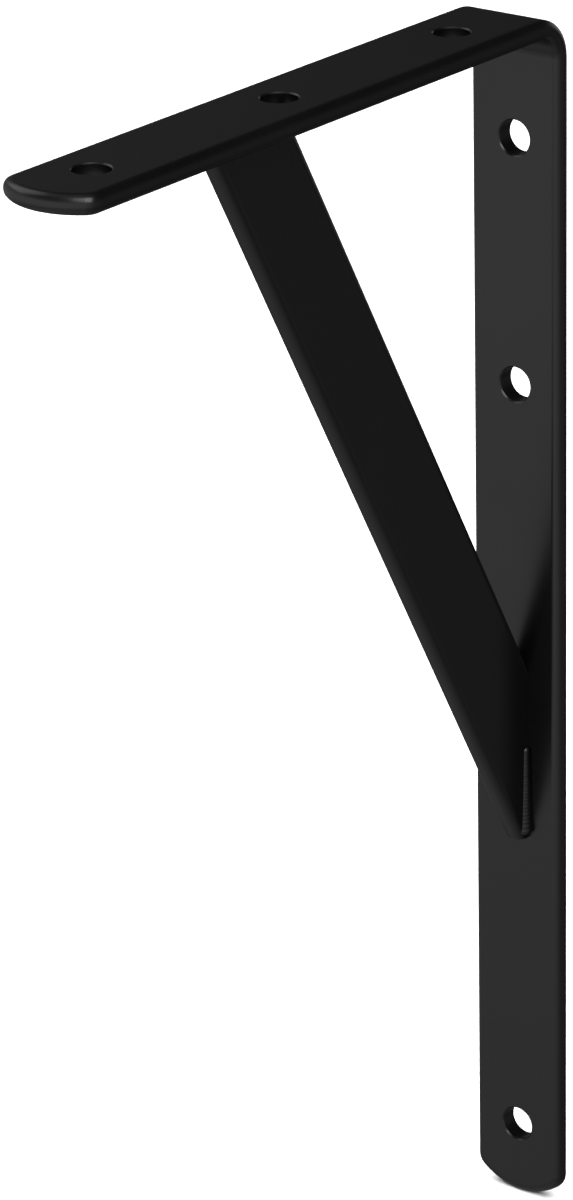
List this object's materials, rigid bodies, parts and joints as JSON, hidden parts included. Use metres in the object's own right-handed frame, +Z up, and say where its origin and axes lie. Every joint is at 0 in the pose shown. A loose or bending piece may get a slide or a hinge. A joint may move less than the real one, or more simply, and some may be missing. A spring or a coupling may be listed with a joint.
{
  "type": "shelf bracket",
  "caption": "Right-angle shelf bracket of bent flat bar with crowned ends and screw holes, stiffened by a diagonal flat strut welded on edge near mid width.",
  "frame": {"origin": "where the wall plane meets the shelf plane, at mid width", "axes": "+Z up, the arm runs out along -Y from the wall plane Y = 0, and +X goes across the bar"},
  "size_m": [0.025, 0.173, 0.304],
  "materials": {
    "black_powder_coat": "satin black powder coat"
  },
  "bodies": {
    "root": {"angle_bar": "black_powder_coat", "strut": "black_powder_coat", "arm_weld_right": "black_powder_coat", "arm_weld_left": "black_powder_coat", "foot_weld_right": "black_powder_coat", "foot_weld_left": "black_powder_coat"}
  },
  "joints": []
}
